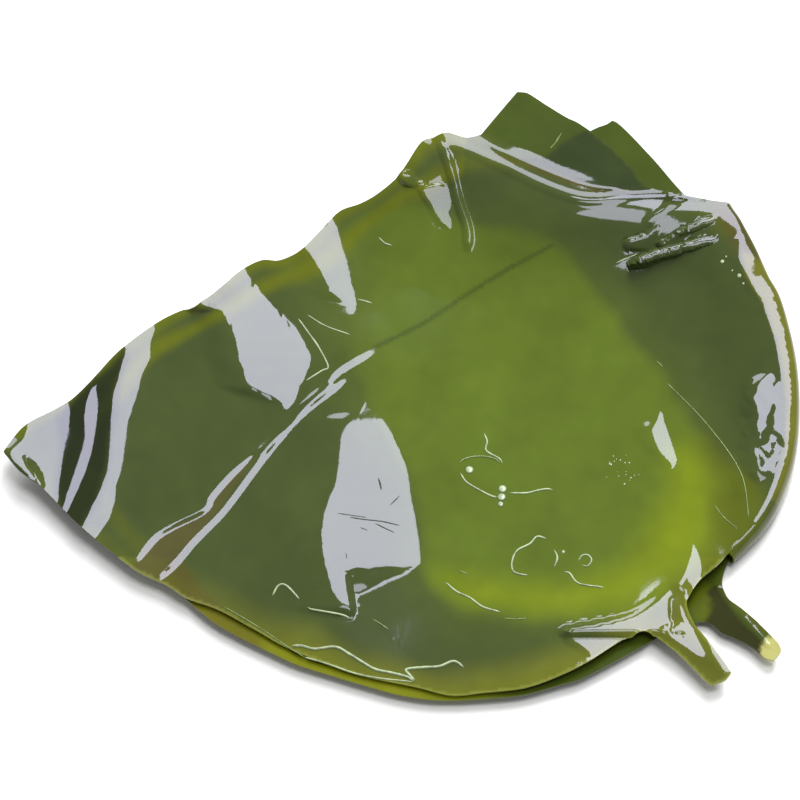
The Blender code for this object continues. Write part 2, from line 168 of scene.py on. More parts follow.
# Low swells of the front lobe, in pixels of the photograph: slope of the fall to the right, how
# far the rise on its left reaches in millimetres, and rows (y, left x, right x) of the fall
SWELLS = {
    "tip": (0.08, 8, [
        (404, 62, 66), (411, 50, 69), (423, 29, 67), (439, 25, 65), (452, 12, 62), (465, 19, 61),
        (480, 36, 61), (499, 55, 61)]),
    "tip streaks": (0.10, 6, [
        (376, 99, 104), (390, 91, 104), (404, 87, 102), (420, 86, 99), (436, 88, 96), (455, 83, 91),
        (474, 77, 84), (493, 71, 77), (512, 66, 70)]),
    "tip window": (-0.12, 0.9, [
        (460, 26, 34), (466, 28, 41), (473, 33, 45), (480, 38, 47), (487, 43, 48)]),
    "left strip": (0.12, 9, [
        (322, 140, 154), (328, 137, 153), (343, 126, 148), (359, 124, 148), (375, 120, 140),
        (391, 115, 136), (407, 114, 131), (423, 113, 126), (455, 112, 123), (471, 110, 121),
        (487, 104, 116), (503, 96, 115), (519, 89, 110), (536, 82, 98)]),
    "rim patch": (0.12, 14, [
        (262, 232, 240), (272, 224, 246), (283, 212, 252), (292, 202, 260), (303, 196, 270),
        (312, 219, 278), (328, 229, 292), (343, 234, 304), (359, 238, 309), (375, 245, 306),
        (388, 250, 298), (404, 284, 294)]),
    "small patch": (0.11, 12, [
        (226, 326, 336), (245, 303, 340), (257, 314, 343), (270, 322, 346), (283, 328, 348),
        (292, 332, 351), (304, 349, 354)]),
    "broad patch": (0.075, 26, [
        (404, 362, 366), (412, 357, 374), (422, 347, 385), (435, 339, 392), (451, 338, 400),
        (467, 337, 406), (483, 335, 409), (499, 328, 411), (515, 323, 414), (531, 321, 417),
        (547, 322, 419), (563, 325, 420), (574, 328, 420), (584, 332, 420), (596, 338, 415),
        (606, 345, 410)]),
    "right patch": (0.17, 8, [
        (411, 658, 661), (420, 656, 664), (430, 650, 667), (440, 652, 670), (450, 657, 673),
        (460, 666, 676)]),
    "stalk arm": (0.14, 5, [
        (548, 689, 692), (557, 687, 697), (566, 684, 698), (575, 681, 697), (584, 676, 692)]),
    "stalk patch": (0.06, 5, [
        (584, 674, 690), (592, 664, 687), (600, 655, 686), (607, 645, 687), (613, 634, 688),
        (617, 620, 689), (621, 600, 690), (626, 572, 691), (630, 566, 692), (634, 568, 616),
        (640, 572, 613), (646, 581, 606), (652, 588, 598), (656, 592, 595)]),
    "stub patch": (0.07, 6, [
        (631, 663, 693), (636, 669, 696), (642, 677, 699), (647, 684, 702), (653, 692, 705)]),
    "stalk window": (-0.085, 0.9, [
        (594, 671, 674), (598, 668, 677), (606, 667, 677), (613, 667, 679), (622, 669, 681),
        (628, 668, 683), (632, 675, 683)]),
    "stub edge": (0.16, 3, [
        (596, 683, 688), (600, 684, 690), (615, 690, 697), (630, 698, 705), (645, 706, 713),
        (660, 714, 721), (668, 718, 724)]),
    "fold upper": (0.1, 5, [
        (246, 742, 752), (258, 740, 757), (275, 748, 765), (289, 756, 772), (297, 761, 776)]),
    "fold middle": (0.1, 5, [
        (307, 767, 780), (322, 772, 784), (343, 778, 788), (373, 783, 792), (404, 786, 793),
        (430, 786, 792), (444, 785, 789)]),
    "fold lower": (0.1, 4, [
        (459, 779, 785), (480, 772, 779), (501, 762, 769), (520, 750, 755)]),
    "wall patch": (0.16, 6, [
        (384, 758, 776), (400, 753, 779), (417, 756, 780), (430, 753, 779), (455, 752, 776),
        (473, 753, 770)]),
}
SWELL_PINCH = 4.2
FINE_SWELLS = ("tip window", "stalk window", "stub edge", "rim patch")
JAG_SIZES = ((3.6, 0.45), (1.7, 0.2))
JAG_REACH = 1.4
RIM_PATCH_JAG = 2.4
WALL_JAG = 4.0

# Terraces of the front lobe: slope of the fall, which way it falls in degrees below the right, how
# far the rise behind it reaches in millimetres, and the outline in pixels of the photograph
TERRACES = {
    "upper wrinkle": (0.14, 20, 2.5, [
        (676, 196), (694, 198), (684, 205), (668, 212), (655, 226), (649, 228), (650, 221), (657, 215),
        (669, 207)]),
    "middle wrinkle": (0.14, -15, 2.5, [
        (664, 224), (661, 234), (653, 246), (644, 249), (630, 246), (629, 240), (644, 240), (650, 236),
        (654, 229)]),
    "lower wrinkle": (0.16, -15, 2.5, [
        (718, 217), (717, 222), (700, 228), (689, 235), (681, 246), (670, 248), (661, 242), (669, 239),
        (680, 232), (695, 224)]),
    "lowest wrinkle": (0.16, -15, 2.5, [
        (634, 263), (640, 258), (653, 253), (667, 247), (683, 245), (697, 241), (720, 234), (721, 240),
        (709, 243), (697, 247), (683, 252), (667, 259), (653, 262), (641, 266)]),
    "tuck patch": (0.06, 10, 2.5, [
        (421, 187), (442, 184), (452, 185), (452, 206), (447, 212), (453, 217), (453, 230), (442, 223),
        (436, 212), (428, 199)]),
    "tuck edge": (0.16, 10, 2.5, [
        (404, 170), (413, 169), (417, 175), (425, 180), (426, 185), (417, 187), (408, 182), (402, 176)]),
}
LEVEL_STEP = 0.5
TERRACE_PINCH = 1.0

# The lower edge of the broad patch, and the right edge of the narrow leg that runs on below it, in
# pixels of the photograph; how steeply the patch falls away past each
PATCH_FOOT = [(345, 569), (354, 566), (366, 567), (384, 565), (402, 566), (414, 564), (424, 562)]
LEG_SIDE = [(345, 569), (346, 580), (348, 592), (351, 606), (353, 620)]
FOOT_SLOPE = 0.165
LEG_SLOPE = 0.9
FOOT_JAG = 0.5

# Fine raised lines of the front lobe, in pixels of the photograph: slope, width of the fall and
# reach of the rise in millimetres, and the line; it falls to the right of the way it runs up
LINES = {
    "pleat upper": (0.15, 2.3, 3.0, [
        (134, 563), (153, 538), (172, 525), (204, 509), (210, 497), (230, 474), (252, 456), (265, 448),
        (287, 420), (319, 393), (338, 370), (371, 351)]),
    "pleat lower": (0.15, 2.3, 3.0, [
        (158, 577), (177, 559), (193, 540), (218, 515), (231, 499), (250, 473), (262, 457), (281, 436),
        (312, 404), (344, 379)]),
    "ridge lower": (-0.2, 2.6, 3.0, [
        (452, 143), (470, 150), (500, 164), (540, 184), (575, 197), (600, 199), (640, 194), (700, 194)]),
    "ridge upper": (-0.13, 2.0, 2.0, [
        (478, 134), (510, 154), (560, 176), (590, 186), (620, 189), (660, 189), (700, 193)]),
    "tuck": (0.45, 2.2, 2.5, [(438, 132), (450, 165), (459, 200), (468, 228), (468, 250)]),
}
BACK_STREAK = (-0.3, 1.7, 1.4, [(713, 584), (721, 596), (729, 606), (739, 616), (752, 631), (764, 644)])
LINE_TAPER = 0.08
LINE_REACH = 8.0

# Colours of the flesh, linear; several are painted light or painted shade, as said above each
DEEP = (0.044, 0.061, 0.015)
# painted shade
PAINTED_SHADE = (0.018, 0.028, 0.007)
# painted shade in the fold valleys
VALLEY_SHADE = (0.010, 0.015, 0.004)
# painted light shining through the sheet where one layer lies alone
MIDDLE_LIT_THROUGH = (0.080, 0.117, 0.0100)
# painted glow of light shining through the thin sheet
GLOW = (0.135, 0.176, 0.006)
# painted glow of light through the thin rim
RIM = (0.092, 0.108, 0.003)
# painted light along the lower rim of the front lobe
LOWER_RIM = (0.125, 0.135, 0.012)
# painted glow of light through the back lobe's thin lower edge
BAND = (0.150, 0.160, 0.003)
BACK_FLESH = (0.044, 0.064, 0.007)
BROWN = (0.075, 0.056, 0.009)
# painted light along the fold's rounded outer band
FOLD_EDGE = (0.130, 0.130, 0.012)
# painted shade in the hollow of a half-stalk
STALK_HOLLOW_SHADE = (0.024, 0.025, 0.005)
STALK_SIDE = (0.075, 0.082, 0.008)
FLAP_FLESH = (0.034, 0.052, 0.004)
# painted shade on the right wall, where two layers lie
WALL_SHADE = (0.034, 0.049, 0.010)
OLIVE = (0.080, 0.098, 0.004)
PLEAT_BROWN = (0.070, 0.061, 0.018)
# painted light on the front lobe's lower cut edge
RIM_FACE_LIGHT = (0.30, 0.32, 0.07)
CUT_END = (0.42, 0.41, 0.14)

# Bands of painted glow along the rim, where light shines through the thin edge: widths and places
# in millimetres, and how strong each one is
UPPER_RIM_FROM = -15.0
UPPER_RIM_TO = 25.0
RIM_WIDTH = 6.0
RIM_WAVER = 4.0
UPPER_RIM_SHARE = 0.85
OTHER_RIM_SHARE = 0.30
LOWER_RIM_FROM = -60.0
LOWER_RIM_WIDTH = 14.0
LOWER_RIM_WAVER = 0.4
LOWER_RIM_SHARE = (0.35, 0.8)
LOWER_RIM_BLEND = (-62.0, 30.0)
BAND_WIDTH = 9.0
BAND_TO = 60.0
BAND_FADE = 60.0
BAND_SHARE = 0.9
# how much painted light the lower rim's edge gets, on its upper and its lower row
RIM_FACE_UPPER = 0.35
RIM_FACE_LOWER = 0.9

# Cloudiness of the colours: its size in millimetres, and how far it shifts the edges of the areas
TEAR_SIZE = 14.0
TEAR_REACH = 2.0
TORN_FROM = 2.0
CLOUD_SIZE = 22.0
CLOUD_SHADE = 0.10
BLOTCH_SIZE = 6.0
BLOTCH_SHADE = 0.05

# The light green middle of the front lobe, painted light shining through the single layer: where it
# fades in towards the right, the strength and softness of its inner and outer part, and its outline
# in pixels of the photograph
LIT_FROM = -42.0
LIT_BLEND = 45.0
LIT_INNER = (0.9, 5.0)
LIT_OUTER = (0.55, 22.0)
LIT_AREA = [
    (330, 235), (375, 200), (420, 202), (470, 222), (520, 226), (565, 248), (608, 300), (633, 338),
    (657, 362), (686, 410), (705, 447), (715, 483), (710, 519), (696, 560), (650, 605), (600, 622),
    (540, 618), (480, 610), (430, 590), (415, 500), (380, 430), (345, 370), (320, 300),
]

# Areas of each lobe where the colour changes, some of them painted light or shade, in pixels of the
# photograph: the colour, how strong it is, how softly it ends in millimetres, and the outline
FRONT_AREAS = [
    (FLAP_FLESH, 0.9, 3.0, [
        (478, 130), (500, 105), (518, 84), (545, 98), (590, 128), (640, 165), (665, 190), (620, 187),
        (560, 172), (520, 154)]),
    # painted shade on the right wall, where two layers lie
    (WALL_SHADE, 0.7, 8.0, [
        (690, 262), (725, 262), (752, 290), (768, 330), (772, 400), (745, 425), (712, 370)]),
    (OLIVE, 0.8, 6.0, [
        (705, 440), (740, 470), (762, 500), (740, 550), (715, 572), (700, 560), (712, 500)]),
    # a thin strip of painted light along the fold's lower end
    (OLIVE, 0.7, 0.8, [
        (742, 549), (724, 561), (708, 569), (700, 575), (705, 565), (722, 556), (738, 545)]),
    # a line of painted shade along a fine crease
    (PAINTED_SHADE, 0.5, 0.8, [
        (375, 346), (425, 321), (470, 291), (510, 266), (551, 244), (552, 247), (511, 270), (471, 295),
        (426, 325), (376, 350)]),
    # painted glow of light through the sheet, low in the middle of the front lobe
    (GLOW, 1.0, 9.0, [
        (672, 452), (690, 447), (706, 470), (712, 500), (700, 550), (650, 595), (600, 606), (540, 609),
        (470, 600), (440, 575), (480, 582), (540, 585), (600, 575), (640, 545), (662, 500)]),
    # painted shade where the left flap lies over the right flap, so less light comes through
    (PAINTED_SHADE, 0.85, 1.2, [
        (594, 131), (608, 143), (633, 168), (650, 189), (700, 200), (640, 200), (600, 192), (560, 175),
        (520, 158), (544, 158), (558, 147), (585, 130)]),
    # painted shade in the fold valleys by the left tip, in this area and the next
    (VALLEY_SHADE, 0.9, 2.5, [
        (58, 420), (76, 398), (104, 372), (124, 348), (122, 372), (113, 410), (110, 460), (98, 505),
        (80, 530), (60, 505)]),
    (VALLEY_SHADE, 0.8, 1.5, [(4, 452), (16, 462), (34, 480), (52, 505), (48, 512), (24, 486), (2, 462)]),
    (BROWN, 0.6, 3.0, [
        (716, 203), (738, 206), (750, 236), (756, 262), (742, 256), (728, 235)]),
    (PLEAT_BROWN, 0.7, 1.2, [
        (134, 568), (153, 542), (180, 525), (206, 512), (230, 480), (254, 458), (240, 482), (214, 518),
        (190, 546), (162, 580), (148, 578)]),
    (BROWN, 0.55, 2.0, [(160, 585), (180, 560), (205, 590), (250, 632), (236, 636), (190, 606)]),
    (BROWN, 0.45, 1.0, [(470, 142), (510, 160), (560, 181), (600, 192), (640, 192), (600, 188), (540, 168)]),
    # painted light along the fold's rounded outer band
    (FOLD_EDGE, 0.75, 1.0, [
        (742, 250), (760, 262), (775, 290), (790, 330), (797, 370), (799, 410), (796, 450), (786, 485),
        (765, 528), (740, 552), (725, 560), (757, 524), (768, 501), (775, 480), (780, 463), (784, 437),
        (785, 404), (782, 373), (777, 343), (768, 315), (763, 302), (755, 289), (747, 275)]),
    (STALK_SIDE, 0.6, 1.5, [
        (655, 640), (668, 640), (692, 668), (706, 684), (724, 678), (700, 652), (684, 640), (670, 630)]),
]
BACK_AREAS = [
    (OLIVE, 0.7, 1.5, [(684, 606), (692, 586), (702, 580), (710, 592), (712, 606), (706, 620), (692, 618)]),
    # painted shade in the hollow of the back lobe's half-stalk
    (STALK_HOLLOW_SHADE, 0.95, 1.2, [
        (704, 590), (714, 586), (724, 602), (740, 622), (764, 646), (758, 658), (740, 645), (716, 634),
        (702, 624), (708, 606)]),
    (STALK_SIDE, 0.8, 1.0, [(718, 582), (726, 588), (752, 612), (778, 638), (770, 642), (735, 608)]),
    (CUT_END, 0.95, 0.8, [(757, 644), (766, 634), (778, 640), (784, 656), (770, 666), (758, 656)]),
    (BROWN, 0.5, 3.0, [(150, 580), (200, 598), (235, 616), (262, 634), (258, 654), (215, 636), (170, 606)]),
]

# Threads and drops of thick brine, in pixels of the photograph: the radius in millimetres, which
# of the thread colours it has, and the line; the pale colours are painted highlights along the
# threads and drops, and the last kind are fine wrinkles of the skin, painted dark as shade
THREADS = [
    (0.40, 0, [(484, 435), (487, 443), (486, 452), (499, 460), (502, 465)]),
    (0.36, 1, [(459, 465), (463, 461), (473, 458), (486, 458), (496, 461), (500, 465)]),
    (0.40, 0, [(460, 474), (466, 483), (479, 491), (491, 497), (497, 498)]),
    (0.42, 0, [(509, 494), (526, 494), (539, 491), (547, 490), (552, 491)]),
    (0.42, 0, [
        (545, 539), (536, 537), (529, 544), (516, 551), (511, 562), (512, 571), (519, 574), (527, 575)]),
    (0.42, 0, [(553, 567), (556, 558), (553, 550)]),
    (0.40, 0, [(562, 572), (568, 573), (577, 583), (602, 587)]),
    (0.36, 0, [(577, 561), (580, 556), (586, 555), (590, 560), (586, 566), (580, 565)]),
    (0.42, 0, [(445, 582), (456, 591), (469, 597), (482, 606), (499, 611)]),
    (0.26, 1, [(502, 617), (514, 618), (526, 617)]),
    (0.26, 1, [(456, 570), (468, 574)]),
    (0.45, 0, [(274, 595), (280, 585), (288, 585), (301, 598)]),
    (0.40, 0, [(309, 606), (327, 609), (342, 612), (351, 616)]),
    (0.34, 1, [(373, 618), (381, 623), (389, 628)]),
    (0.60, 0, [
        (293, 644), (303, 644), (316, 647), (336, 645), (350, 652), (363, 660), (376, 667), (390, 670),
        (406, 674), (414, 678), (409, 672), (406, 667), (423, 665), (439, 664), (453, 659), (463, 665)]),
    (0.34, 0, [(306, 655), (330, 662), (353, 670), (376, 675), (412, 679)]),
    (0.24, 1, [(226, 606), (249, 619), (270, 632), (289, 645), (306, 655)]),
    (0.30, 0, [(307, 316), (325, 327), (350, 336)]),
    (0.34, 0, [(357, 300), (372, 304)]),
    (0.26, 1, [(667, 384), (707, 426), (739, 473), (747, 518)]),
    (0.26, 1, [(712, 505), (722, 518), (736, 530)]),
    (0.38, 0, [(298, 320), (308, 334), (318, 348), (328, 368), (322, 372), (306, 382)]),
    (0.34, 0, [(379, 237), (385, 243), (392, 245)]),
    (0.28, 1, [(657, 362), (664, 369)]),
    (0.34, 0, [(617, 263), (626, 259), (638, 254)]),
    (0.30, 1, [(551, 148), (556, 143), (563, 132)]),
    (0.34, 2, [(378, 479), (380, 485), (381, 491)]),
    (0.26, 2, [(390, 506), (399, 497)]),
    (0.24, 2, [(338, 514), (352, 516), (366, 518)]),
    (0.28, 2, [(350, 518), (371, 521)]),
    (0.30, 2, [(363, 520), (382, 522), (399, 526)]),
    (0.26, 2, [(375, 524), (394, 533)]),
    (0.24, 2, [(346, 553), (347, 559)]),
    (0.22, 2, [(360, 528), (368, 531)]),
]
DROPS = [
    (469, 471, 1.7), (502, 490, 1.7), (501, 498, 1.8), (500, 505, 1.2), (562, 552, 0.7), (724, 262, 0.8),
    (741, 276, 0.9), (734, 271, 0.4), (745, 284, 0.5), (728, 257, 0.4),
]
SPECKLE_AREA = (621, 471, 19, 18)
SPECKLE_COUNT = 22
SPECKLE_SEED = 7
SPECKLE_RADIUS = (0.15, 0.42)
THREAD_STEP = 0.7
THREAD_SIDES = 6
THREAD_TAPER = 2.0
THREAD_END = 0.15
THREAD_THINNEST = 0.05
DROP_RISE = 0.22
DROP_SIDES = 12
DROP_RINGS = ((0.6, 0.7), (1.0, 0.0))
THREAD_COLOURS = {
    # pale: a painted highlight along brine threads and drops
    "brine_painted_highlight": (0.30, 0.37, 0.21),
    # paler green: a fainter painted highlight along brine threads
    "brine_faint_painted_highlight": (0.13, 0.19, 0.05),
    # dark: skin wrinkle lines painted as shade
    "wrinkle_painted_shade": (0.020, 0.026, 0.008),
}

# Looks of the wet surface; each noise is its scale, its detail and the values it runs between
GLOSS_TINT = (0.80, 0.78, 1.0, 1.0)
GLOSS_IOR = 1.415
MOTTLE = (90.0, 6.0, 0.94, 1.06)
WET_ROUGHNESS = (40.0, 4.0, 0.03, 0.07)
GRAIN = (420.0, 3.0, 0.0, 1.0)
GRAIN_DEPTH = 0.000004
BRINE_MOTTLE = (300.0, 3.0, 0.6, 1.3)
BRINE_ROUGHNESS = (300.0, 2.0, 0.15, 0.35)
NOISE_LOW = 0.3
NOISE_HIGH = 0.7

# The plain floor, in metres
FLOOR_SIDE = 12.0
FLOOR_DROP = 0.0002
FLOOR_COLOUR = (0.86, 0.86, 0.86, 1.0)
FLOOR_ROUGHNESS = 0.9
FLOOR_SHINE = 0.1

# Soft lights: the tilt, in degrees right and towards the camera, of a level face that mirrors each
# into the camera; its width and height in metres; its radiance
SOFTBOXES = {
    "key": (7.6, 1.5, 0.95, 1.6, 15.8),
    "back": (0, -11, 1.7, 0.9, 11.0),
    "top": (6, 18, 1.0, 1.2, 11.0),
}
LIGHT_DISTANCE = 3.0
WORLD_COLOUR = (1.0, 1.0, 1.0, 1.0)
WORLD_STRENGTH = 0.35

# The camera: distance and far limit in metres, sensor in millimetres, and the (u, v, height) that
# it looks at
CAMERA_DISTANCE = 4.0
CAMERA_LIMIT = 50.0
SENSOR_WIDTH = 36.0
LOOKED_AT = (0.0, 0.0, 8.0)


def place(points):
    """Turns rows of (u, v, height) into rows of (x, y, z)."""
    tilt = math.radians(VIEW_TILT)
    u, v, height = np.asarray(points, dtype=float).T
    return np.column_stack([u, (v - height * math.cos(tilt)) / math.sin(tilt), height])


def lifted(flat, height):
    """The (x, y, z) of each (u, v) at its height."""
    return place(np.column_stack([flat, height]))


def smooth_line(points, spacing):
    """A Catmull-Rom curve through the points, cut into steps of about the spacing."""
    points = np.asarray(points, dtype=float)
    ends = np.vstack([2 * points[0] - points[1], points, 2 * points[-1] - points[-2]])
    fine = []
    for before, start, stop, after in zip(ends, ends[1:], ends[2:], ends[3:]):
        steps = max(2, round(np.linalg.norm(stop[:2] - start[:2]) / CURVE_STEP))
        for t in np.arange(steps) / steps:
            fine.append(
                0.5 * (
                    2 * start + (stop - before) * t
                    + (2 * before - 5 * start + 4 * stop - after) * t ** 2
                    + (3 * start - before - 3 * stop + after) * t ** 3
                )
            )
    fine = np.array(fine + [points[-1]])
    run = np.concatenate([[0.0], np.cumsum(np.linalg.norm(np.diff(fine[:, :2], axis=0), axis=1))])
    marks = np.linspace(0.0, run[-1], max(2, round(run[-1] / spacing) + 1))
    return np.column_stack([np.interp(marks, run, column) for column in fine.T])


def join_lines(corner, lines):
    """The (u, v) of smooth lines, each one going on from a corner at the end of the last."""
    rows = []
    for line in lines:
        whole = [corner[:2]] + [row[:2] for row in line]
        rows += list(smooth_line(whole, RIM_SPACING)[1:])
        corner = line[-1]
    return np.array(rows)


def nearest(places, targets):
    """For each place, the number of the nearest target and how far away it is."""
    pad = 3 - targets.shape[1]
    tree = KDTree(len(targets))
    for number, row in enumerate(targets):
        tree.insert(tuple(row) + (0.0,) * pad, number)
    tree.balance()
    found = [tree.find(tuple(row) + (0.0,) * pad)[1:] for row in places]
    return np.array([row[0] for row in found]), np.array([row[1] for row in found])


def radial(distance_squared):
    """The thin-plate kernel."""
    return distance_squared * np.log(distance_squared + TINY)


class Drape:
    """The smoothest surface through rows of (u, v, height)."""

    def __init__(self, rows):
        rows = np.asarray(rows, dtype=float)
        self.spots = rows[:, :2]
        count = len(rows)
        gaps = ((self.spots[:, None] - self.spots[None]) ** 2).sum(axis=2)
        plane = np.column_stack([np.ones(count), self.spots])
        system = np.block([[radial(gaps), plane], [plane.T, np.zeros((3, 3))]])
        answer = np.linalg.solve(system, np.concatenate([rows[:, 2], np.zeros(3)]))
        self.weights = answer[:count]
        self.plane = answer[count:]

    def height(self, places):
        """Height of the surface at each (u, v)."""
        gaps = ((places[:, None] - self.spots[None]) ** 2).sum(axis=2)
        return radial(gaps) @ self.weights + self.plane[0] + places @ self.plane[1:]


def step_up(value):
    """Eases from 0 to 1 as the value goes from 0 to 1."""
    value = np.clip(value, 0.0, 1.0)
    return value * value * (3 - 2 * value)


def from_photo(rows):
    """The (u, v) of pixels (x, y) of the photograph."""
    return (np.asarray(rows, dtype=float)[:, :2] - PHOTO_SIDE / 2) * (PIXEL, -PIXEL)


def unevenness(places):
    """Small uneven sideways steps, in millimetres, that give what they bound a torn edge."""
    shift = np.zeros(len(places))
    for size, reach in JAG_SIZES:
        shift += [reach * noise.noise(Vector((u / size, v / size, size))) for u, v in places]
    return shift


def beside(places, left, right):
    """The u of the left and of the right edge level with each place."""
    return [np.interp(places[:, 1], edge[:, 1], edge[:, 0]) for edge in (left, right)]


def even_fall(places, left, right, slope, reach):
    """Height of a swell: it rises from the left, and falls evenly between its two edges."""
    near, far = beside(places, left, right)
    fall = slope * np.clip(far - places[:, 0], 0, far - near)
    return fall * (1 - step_up((near - places[:, 0]) / reach))


def swell_edges(rows):
    """The left and right edge of a swell, upwards and drawn together at both ends."""
    left = from_photo([(left, y) for y, left, right in rows])[::-1]
    right = from_photo([(right, y) for y, left, right in rows])[::-1]
    return pinched(left, right, SWELL_PINCH)


def swell_height(places, swell, uneven, only_edges=True):
    """Height of a low swell, torn along its edges or all over."""
    slope, reach, rows = swell
    left, right = swell_edges(rows)
    if only_edges:
        gap = np.min([np.abs(places[:, 0] - edge) for edge in beside(places, left, right)], axis=0)
        uneven = uneven * np.exp(-(gap / JAG_REACH) ** 2)
    return even_fall(places + np.column_stack([uneven, uneven / 2]), left, right, slope, reach)


def pinched(left, right, pinch):
    """The two edges of a swell, drawn together at both ends."""
    ends = (left[[0, -1]] + right[[0, -1]]) / 2
    ends[0, 1] -= pinch
    ends[1, 1] += pinch
    return np.vstack([ends[0], left, ends[1]]), np.vstack([ends[0], right, ends[1]])


def turned(places, degrees):
    """The places in a frame whose first axis points so many degrees below the right."""
    angle = math.radians(degrees)
    return places @ np.array([[math.cos(angle), math.sin(angle)], [-math.sin(angle), math.cos(angle)]])


def outline_edges(corners):
    """The left and right edge of an outline, upwards."""
    closed = np.vstack([corners, corners[:1]])
    left, right = [], []
    for level in np.arange(corners[:, 1].min() + LEVEL_STEP / 2, corners[:, 1].max(), LEVEL_STEP):
        across = []
        for (u1, v1), (u2, v2) in zip(closed, closed[1:]):
            if (v1 > level) != (v2 > level):
                across.append(u1 + (u2 - u1) * (level - v1) / (v2 - v1))
        left.append((min(across), level))
        right.append((max(across), level))
    return np.array(left), np.array(right)


def patch_loss(places, uneven):
    """How much lower the broad patch is past its foot, to the right of its leg."""
    foot = from_photo(PATCH_FOOT)
    side = from_photo(LEG_SIDE)[::-1]
    below = np.interp(places[:, 0], *foot.T) + FOOT_JAG * uneven - places[:, 1]
    past = places[:, 0] - np.interp(places[:, 1], *side.T[::-1])
    return np.clip(np.minimum(FOOT_SLOPE * below, LEG_SLOPE * past), 0, None)


def terrace_height(places, terrace):
    """Height of a terrace: a swell inside an outline that falls at an angle."""
    slope, turn, reach, outline = terrace
    left, right = pinched(*outline_edges(turned(from_photo(outline), turn)), TERRACE_PINCH)
    return even_fall(turned(places, turn), left, right, slope, reach)


def line_frame(places, line):
    """Signed distance of each place from a line, how far along it is, and whether it is close."""
    line = smooth_line(from_photo(line), CREASE_STEP)
    along = np.gradient(line, axis=0)
    along /= np.linalg.norm(along, axis=1)[:, None]
    number, gap = nearest(places, line)
    offset = places - line[number]
    side = offset[:, 0] * along[number, 1] - offset[:, 1] * along[number, 0]
    beyond = np.abs((offset * along[number]).sum(axis=1)) > CREASE_STEP
    return side, number / len(line), (gap < LINE_REACH) & ~beyond


def line_height(places, raised):
    """Height of a fine raised line: a short rise to its crest, then an even fall."""
    slope, width, reach, line = raised
    side, share, close = line_frame(places, line)
    side = side * math.copysign(1, slope)
    taper = np.clip(np.minimum(share, 1 - share) / LINE_TAPER, 0, 1)
    profile = np.where(side > 0, np.clip(1 - side / width, 0, 1), 1 - step_up(-side / reach))
    return np.where(close, abs(slope) * width * profile * taper, 0)


def front_height(places):
    """Height of the front lobe at each (u, v): carried by its rim, the fold and its inside."""
    rim = [row[:3] for row in FOLD[1:]] + [row for line in FRONT_LINES for row in line]
    smooth = Drape(rim + FRONT_HEIGHTS).height(places)
    uneven = unevenness(places)
    swells = {name: swell_height(places, swell, uneven) for name, swell in SWELLS.items()}
    swells["rim patch"] = swell_height(places, SWELLS["rim patch"], RIM_PATCH_JAG * uneven)
    swells["wall patch"] = swell_height(places, SWELLS["wall patch"], WALL_JAG * uneven, False)
    swells["broad patch"] = np.clip(swells["broad patch"] - patch_loss(places, uneven), 0, None)
    terraces = [terrace_height(places + uneven[:, None], terrace) for terrace in TERRACES.values()]
    lines = [line_height(places, line) for line in LINES.values()]
    return smooth + sum(swells.values()) + np.max(terraces, axis=0) + sum(lines)


def fine_lines():
    """The lines that the sheet is split finely beside, in pixels of the photograph."""
    lines = [line for _, _, _, line in LINES.values()]
    for name in FINE_SWELLS:
        rows = SWELLS[name][2]
        lines += [[(left, y) for y, left, right in rows], [(right, y) for y, left, right in rows]]
    for _, _, _, outline in TERRACES.values():
        lines.append(outline + outline[:1])
    return lines + [PATCH_FOOT, LEG_SIDE]


def detail_places(lines):
    """Rows of places close beside the lines, where the sheet is split more finely."""
    rows = []
    for line in lines:
        run = smooth_line(from_photo(line), DETAIL_SPACING)
        along = np.gradient(run, axis=0)
        across = np.column_stack([along[:, 1], -along[:, 0]])
        across /= np.linalg.norm(across, axis=1)[:, None]
        for offset in DETAIL_OFFSETS:
            rows.append(run + offset * across)
    return np.vstack(rows)


def back_height(places, foot):
    """Height of the back lobe at each (u, v): level where it rests, higher towards its rim."""
    rim = [row for line in BACK_LINES + [RIGHT_FLAP_SIDE] for row in line]
    rim += [tuple(row) for row in foot[::round(FOOT_SPACING / RIM_SPACING)]]
    offsets = (places - REST_CENTRE) / REST_RADII
    raised = step_up((np.hypot(*offsets.T) - 1) / REST_BLEND)
    rest = SHEET_THICKNESS / 2
    smooth = rest + (Drape(rim + BACK_HEIGHTS).height(places) - rest) * raised
    return smooth + line_height(places, BACK_STREAK)


def fill(loop, spacing, detail=None):
    """Triangles over the inside of a closed loop of (u, v); the loop's own points come first."""
    low = loop.min(axis=0)
    high = loop.max(axis=0)
    grid = []
    for number, v in enumerate(np.arange(low[1], high[1], spacing * math.sqrt(3) / 2)):
        start = low[0] + (number % 2) * spacing / 2
        grid += [(u, v) for u in np.arange(start, high[0], spacing)]
    grid = np.array(grid)
    if detail is not None:
        detail = thinned(detail)
        grid = grid[nearest(grid, detail)[1] > DETAIL_CLEARANCE * spacing]
        grid = np.vstack([detail, grid])
    grid = grid[nearest(grid, loop)[1] > RIM_CLEARANCE * spacing]
    points = [Vector(row) for row in np.vstack([loop, grid])]
    corners, _, faces, origins, _, _ = delaunay_2d_cdt(
        points, [], [list(range(len(loop)))], INSIDE_ONLY, MERGE_DISTANCE)
    used = sorted({corner for face in faces for corner in face}, key=lambda c: origins[c][0])
    place_of = {corner: position for position, corner in enumerate(used)}
    flat = np.array([tuple(corners[corner]) for corner in used])
    return flat, [tuple(place_of[corner] for corner in face) for face in faces]


def thinned(places):
    """The places without those that crowd an earlier one."""
    tree = KDTree(len(places))
    for number, (u, v) in enumerate(places):
        tree.insert((u, v, 0.0), number)
    tree.balance()
    kept = []
    for number, (u, v) in enumerate(places):
        crowd = [found[1] for found in tree.find_range((u, v, 0.0), DETAIL_CROWDING)]
        if min(crowd) == number:
            kept.append(number)
    return places[kept]


